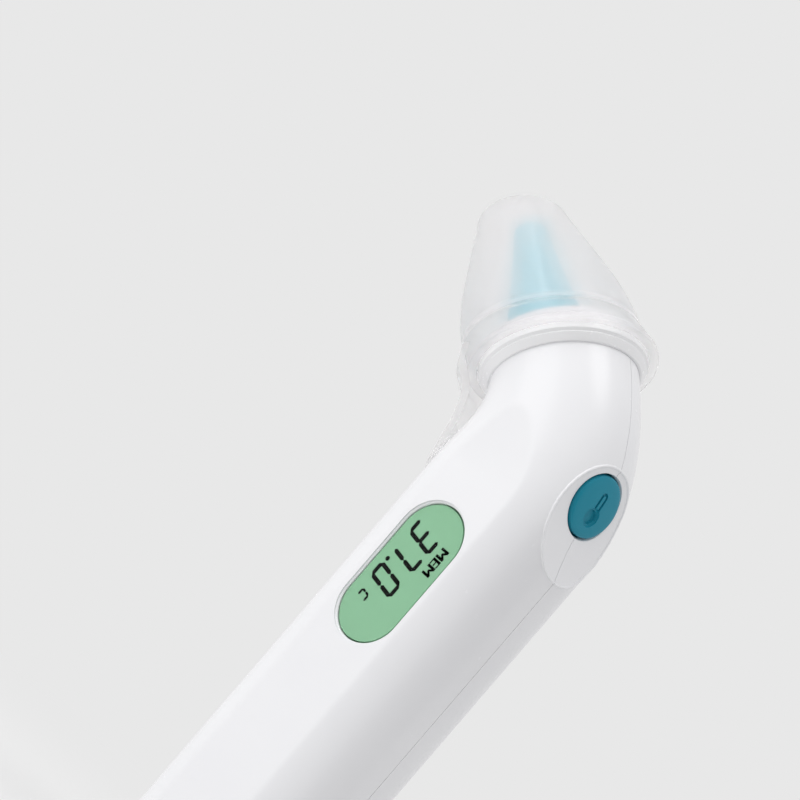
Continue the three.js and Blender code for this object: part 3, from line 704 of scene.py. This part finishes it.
def moulded(name, dark, light, low, high, grain=1.6, relief=0.012, patch=22.0, **inputs):
    """Moulded plastic: a faint ripple of the mould's surface, and soft patches of tone and of gloss.
    Its roughness runs from low to high."""
    material, tree, here = new_material(name)
    tone = noise(tree, (here, "Object"), patch, 2.0)
    colour = between(tree, (tone, "Fac"), dark, light)
    fine = noise(tree, (here, "Object"), grain, 3.0)
    gloss = span(tree, (fine, "Fac"), low, high)
    bump = relief_of(tree, (fine, "Fac"), 0.35, relief)
    finish_material(tree, colour, gloss, inputs, Normal=(bump, "Normal"))
    return material


def metal(name, dark, light, low, high, grain=0.8, stretch=(1, 1, 12), relief=0.01):
    """Metal with fine lines drawn along its stretch, which break up its reflections."""
    material, tree, here = new_material(name)
    drawn = add(tree, "ShaderNodeMapping", {"Vector": (here, "Object")}, {"Scale": [1 / s for s in stretch]})
    lines = noise(tree, (drawn, "Vector"), grain, 4.0)
    colour = between(tree, (lines, "Fac"), dark, light)
    gloss = span(tree, (lines, "Fac"), low, high)
    bump = relief_of(tree, (lines, "Fac"), 0.4, relief)
    finish_material(tree, colour, gloss, {"Metallic": 1.0}, Normal=(bump, "Normal"))
    return material


# A broad, soft gloss, so that the light slides along the handle without a hard edge.
WHITE_ABS = moulded("white_abs_gloss", "#EEEEF1", "#F4F4F6", 0.2, 0.3)
# The shells' white plus painted light: a shade whiter than the shells, which brightens the ring where the
# cap holds light back, so that it stands out from the head.
RING_ABS_PAINTED_BRIGHTER = moulded("white_abs_ring_painted_brighter", "#F4F4F6", "#FAFAFB", 0.22, 0.3)
# Dull and slightly grey: inner mouldings that nobody polished.
WHITE_INNER = moulded("white_abs_matt", "#DCDCDD", "#E6E6E6", 0.45, 0.6, grain=0.5, relief=0.03)
# Near black, so that what holds the display stays in the dark.
BLACK_INNER = moulded("black_nylon", "#141516", "#1D1E20", 0.45, 0.6, grain=0.4, relief=0.03)
# The one strong colour. Its satin face has little glare, so that the sign's edges show.
TEAL_ABS = moulded("teal_abs_satin", "#1B849B", "#238EA5", 0.3, 0.4, grain=0.7, relief=0.02,
                   **{"Specular IOR Level": 0.2})
# Pale and glossy, so that the probe still reads as teal through the frosted cap.
PROBE_ABS = moulded("pale_teal_abs", "#83C9D8", "#93D4E2", 0.22, 0.3, **{"Specular IOR Level": 1.0})
# The flat grey-green of an unlit display, almost without glare.
LCD = moulded("green_display_glass", "#8EC29C", "#94C8A2", 0.3, 0.36, patch=9.0,
              **{"Specular IOR Level": 0.2})
# Dense black, so that the figures stand out sharply.
MARKS = moulded("display_ink", "#050706", "#090C0A", 0.5, 0.6, grain=0.3, **{"Specular IOR Level": 0.1})
# Soft, dull grey: the one rubbery thing inside.
RUBBER = moulded("silicone_rubber", "#6A6E70", "#777B7D", 0.65, 0.8, grain=0.3, relief=0.04)
# Four colours of insulation, which tell the leads and wires apart.
LEAD_ORANGE = moulded("orange_insulation", "#B06A22", "#C07A2C", 0.4, 0.5, grain=0.4)
LEAD_GREY = moulded("grey_insulation", "#6E7072", "#808284", 0.4, 0.5, grain=0.4)
WIRE_RED = moulded("red_insulation", "#A31F1C", "#B52B26", 0.35, 0.45, grain=0.4)
WIRE_BLACK = moulded("black_insulation", "#161617", "#202022", 0.35, 0.45, grain=0.4)
# Deep green, mottled finely as if copper ran under it.
BOARD = moulded("green_solder_mask", "#135A34", "#1C6B40", 0.3, 0.45, grain=1.2, relief=0.03, patch=2.5)
# Bright, with drawn lines: the contacts flash among dull plastic.
SPRING_STEEL = metal("nickel_plated_steel", "#B4B6B8", "#CFD1D3", 0.2, 0.32)
# Greyer and rougher than the contacts, with lines across the heads.
SCREW_STEEL = metal("zinc_plated_steel", "#A9ABAF", "#C9CBCF", 0.25, 0.4, stretch=(1, 6, 1))
# A slightly warm silver, which sets the sensor off from its holder.
CAN_METAL = metal("plated_can", "#C4C2BC", "#D8D6D0", 0.2, 0.3)
# Warm yellow metal with the lathe's rings on it.
BRASS = metal("turned_brass", "#B8914A", "#CFA85E", 0.22, 0.34, grain=0.5, stretch=(8, 8, 1))


def frosted_polypropylene():
    """Thin frosted polypropylene: light comes through it milky, and what is behind it looks soft.
    Its flange is left smooth, so it is clearer there, and the bead above it shows as a paler line."""
    material, tree, here = new_material("frosted_polypropylene")
    haze = noise(tree, (here, "Object"), 9, 3.0)
    colour = between(tree, (haze, "Fac"), "#FBF9FA", "#FEFCFD")
    frost = noise(tree, (here, "Object"), 0.5, 2.0)
    gloss = span(tree, (frost, "Fac"), 0.26, 0.34)
    bump = relief_of(tree, (frost, "Fac"), 0.3, 0.01)
    # Its density goes by the distance along the head: thin, then dense at the bead, then milky.
    along = HEAD_PLACE.to_3x3() @ Vector((0, 0, 1))
    start = along.dot(HEAD_PLACE.translation)
    reach = add(tree, "ShaderNodeVectorMath", {0: (here, "Object")}, {1: along}, operation="DOT_PRODUCT")
    bead = add(tree, "ShaderNodeMapRange", {"Value": (reach, "Value")},
               {"From Min": start + 4.9 * MM, "From Max": start + 5.4 * MM, "To Min": 0.34, "To Max": 0.84})
    bell = add(tree, "ShaderNodeMapRange", {"Value": (reach, "Value")},
               {"From Min": start + 6.0 * MM, "From Max": start + 6.8 * MM, "To Max": -0.32})
    density = add(tree, "ShaderNodeMath", {0: (bead, "Result"), 1: (bell, "Result")}, operation="ADD")
    finish_material(tree, colour, gloss, {"IOR": 1.15, "Transmission Weight": 0.66},
                    Normal=(bump, "Normal"), Alpha=(density, 0))
    return material


def clear_plastic():
    """Clear polished acrylic: almost unseen, with a clean gloss and the faintest ripple."""
    material, tree, here = new_material("clear_acrylic")
    ripple = noise(tree, (here, "Object"), 6, 1.0)
    tint = between(tree, (ripple, "Fac"), "#FAFCFB", "#FFFFFF")
    gloss = span(tree, (ripple, "Fac"), 0.03, 0.07)
    finish_material(tree, tint, gloss, {"IOR": 1.12, "Transmission Weight": 1.0, "Alpha": 0.3})
    return material


def cell_jacket():
    """A cell's printed film: a blue body with a pale collar, both with a slight metallic sheen."""
    material, tree, here = new_material("printed_cell_film")
    axes = add(tree, "ShaderNodeSeparateXYZ", {"Vector": (here, "Object")})
    worn = noise(tree, (here, "Object"), 1.5, 3.0)
    collar = add(tree, "ShaderNodeMath", {0: (axes, "Z")}, {1: 46 * MM}, operation="GREATER_THAN")
    colour = between(tree, (collar, 0), "#2C5F84", "#C9CDD1")
    gloss = span(tree, (worn, "Fac"), 0.22, 0.36)
    bump = relief_of(tree, (worn, "Fac"), 0.3, 0.01)
    finish_material(tree, colour, gloss, {"Metallic": 0.4}, Normal=(bump, "Normal"))
    return material


FROSTED = frosted_polypropylene()
CLEAR = clear_plastic()
CELL_FILM = cell_jacket()


def dress(piece, material):
    piece.data.materials.clear()
    piece.data.materials.append(material)


def place_piece(piece, material, body, slot, *nodes):
    """Finishes a piece and hangs it on its body, in the place of the nodes that it shows."""
    dress(smooth(piece), material)
    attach(piece, body)
    if nodes:
        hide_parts(*nodes)


# ---------- the object ----------

walls = housing_walls()
place_piece(make_front_shell(walls), WHITE_ABS, "housing", "white_shell", "front_shell")
place_piece(make_rear_shell(walls), WHITE_ABS, "housing", "white_shell", "rear_shell")
place_piece(make_battery_door(walls), WHITE_ABS, "battery_door", "white_shell", "battery_door")
bpy.data.objects.remove(walls)
place_piece(make_scan_button(), TEAL_ABS, "scan_button", "teal_button", "scan_button")
# The ring's material is whiter than the shells' white: painted light for the shade that the cap casts on it.
place_piece(make_head_ring(), RING_ABS_PAINTED_BRIGHTER, "housing", "white_shell", "head_ring")
place_piece(make_probe_base(), WHITE_ABS, "housing", "white_shell", "probe_base")
place_piece(make_probe(), PROBE_ABS, "housing", "teal_probe", "probe_cone")
place_piece(make_probe_cap(), FROSTED, "cap", "frosted_cap", "probe_cap")
place_piece(make_window(), CLEAR, "housing", "clear_window", "display_window")
place_piece(make_display_marks(), MARKS, "housing", "black_inner")
for side, up in (("left", True), ("right", False)):
    cell = make_cell("cell_" + side, "battery_" + side, up)
    place_piece(cell, CELL_FILM, "housing", "cell_jacket", "battery_" + side)

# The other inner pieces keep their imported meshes, with better materials.
CARRIED_OVER = {
    "display_panel": LCD, "display_frame": BLACK_INNER, "display_backlight": WHITE_INNER,
    "display_connector": RUBBER, "main_board": BOARD, "switch_board": BOARD, "controller_chip": BLACK_INNER,
    "buzzer": BLACK_INNER, "battery_tray": WHITE_INNER, "contact_bridge": SPRING_STEEL,
    "contact_negative": SPRING_STEEL, "contact_positive": SPRING_STEEL, "tray_screw_1": SCREW_STEEL,
    "tray_screw_2": SCREW_STEEL, "case_screw": SCREW_STEEL, "supply_wire_red": WIRE_RED,
    "supply_wire_black": WIRE_BLACK, "switch_actuator": BLACK_INNER, "tactile_switch": SPRING_STEEL,
    "switch_lead": LEAD_GREY, "probe_lens": CLEAR, "sensor_can": CAN_METAL, "sensor_holder": BRASS,
    "sensor_lead": LEAD_ORANGE,
}
for node, material in CARRIED_OVER.items():
    dress(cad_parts[node], material)

# ---------- floor, light and camera ----------

STUDIO_GREY = "#E8E8E8"
FLOOR_SINK = 0.0002  # metres
AZIMUTH, ROLL, LENS = math.radians(41), math.radians(40.7), 300.0
VIEW_WIDTH = 153.85  # millimetres across the view, at the handle's axis
# The middle of the view, in the camera's own directions from the handle's foot: across and up the handle.
AIM = (-30.6, 106.8)


def studio_floor():
    """Pale paper that takes shadows round the object and runs out into the studio's even light."""
    material, tree, here = new_material("pale_floor_paper")
    fibre = noise(tree, (here, "Object"), 4, 3.0)
    bump = relief_of(tree, (fibre, "Fac"), 0.2, 0.02)
    paper = add(tree, "ShaderNodeBsdfDiffuse", {"Normal": (bump, "Normal")}, {"Color": linear(STUDIO_GREY)})
    glow = add(tree, "ShaderNodeEmission", None, {"Color": linear(STUDIO_GREY), "Strength": 1.0})
    away = add(tree, "ShaderNodeVectorMath", {0: (here, "Object")}, operation="LENGTH")
    fade = add(tree, "ShaderNodeMapRange", {"Value": (away, "Value")}, {"From Min": 0.1, "From Max": 0.3},
               interpolation_type="SMOOTHSTEP")
    both = add(tree, "ShaderNodeMixShader", {0: (fade, "Result"), 1: (paper, "BSDF"), 2: (glow, "Emission")})
    add(tree, "ShaderNodeOutputMaterial", {"Surface": (both, "Shader")})
    return material


def make_floor():
    bpy.ops.object.select_all(action="DESELECT")
    bpy.ops.mesh.primitive_circle_add(vertices=96, radius=6, fill_type="NGON", location=(0, 0, -FLOOR_SINK))
    floor = settle(bpy.context.object, "floor")
    dress(floor, studio_floor())


def make_light(name, spot, target, size, watts):
    """A round soft light at a spot, aimed at a target. Places and size are in metres."""
    light = bpy.data.lights.new(name, "AREA")
    light.shape = "DISK"
    light.size = size
    light.energy = watts
    lamp = bpy.data.objects.new(name, light)
    bpy.context.scene.collection.objects.link(lamp)
    lamp.location = spot
    lamp.rotation_euler = (Vector(target) - Vector(spot)).to_track_quat("-Z", "Y").to_euler()
    lamp.visible_camera = False


def make_shade_card():
    """A grey card off to one side, which holds the light back from the handle's outer side."""
    bpy.ops.object.select_all(action="DESELECT")
    spot, handle = Vector((0.34, -0.05, 0.05)), Vector((0.01, 0, 0.07))  # metres
    facing = (handle - spot).to_track_quat("Z", "Y").to_euler()
    bpy.ops.mesh.primitive_plane_add(size=0.42, location=spot, rotation=facing)
    card = settle(bpy.context.object, "shade_card")
    dress(card, moulded("grey_card", "#7C7C7C", "#848484", 0.9, 0.95, grain=2.0))
    card.visible_camera = card.visible_transmission = False


def make_world():
    """Even pale light from all round, as in a white room."""
    world = bpy.data.worlds.new("studio")
    world.use_nodes = True
    sky = world.node_tree.nodes["Background"]
    sky.inputs["Color"].default_value = linear(STUDIO_GREY)
    sky.inputs["Strength"].default_value = 1.0
    bpy.context.scene.world = world


def make_camera():
    """A long lens at the display's height, turned so that the handle leans across the frame."""
    side = Vector((math.cos(AZIMUTH), math.sin(AZIMUTH), 0))
    back = Vector((math.sin(AZIMUTH), -math.cos(AZIMUTH), 0))
    up = Vector((0, 0, 1)) * math.cos(ROLL) - side * math.sin(ROLL)
    right = Vector((0, 0, 1)) * math.sin(ROLL) + side * math.cos(ROLL)
    across, along = AIM
    centre = (side * across + Vector((0, 0, 1)) * along) * MM
    camera_data = bpy.data.cameras.new("camera")
    camera_data.lens = LENS
    camera = bpy.data.objects.new("camera", camera_data)
    bpy.context.scene.collection.objects.link(camera)
    distance = VIEW_WIDTH * MM * LENS / camera_data.sensor_width
    turn = Matrix((right, up, back)).transposed().to_4x4()
    camera.matrix_world = Matrix.Translation(centre + back * distance) @ turn
    camera_data.clip_start, camera_data.clip_end = 0.05, 100
    bpy.context.scene.camera = camera


make_floor()
make_world()
HANDLE_MIDDLE, HEAD_MIDDLE = (0, 0, 0.1), (-0.02, 0, 0.13)
make_light("key", (-0.5, -0.8, 0.45), HANDLE_MIDDLE, 0.8, 2.0)
make_light("upper_front", (-0.43, -0.51, 0.88), HEAD_MIDDLE, 0.35, 1.2)
make_light("top", (0.09, -0.06, 0.91), HEAD_MIDDLE, 0.4, 0.9)
make_shade_card()
make_camera()
bpy.context.scene.view_settings.view_transform = "Standard"
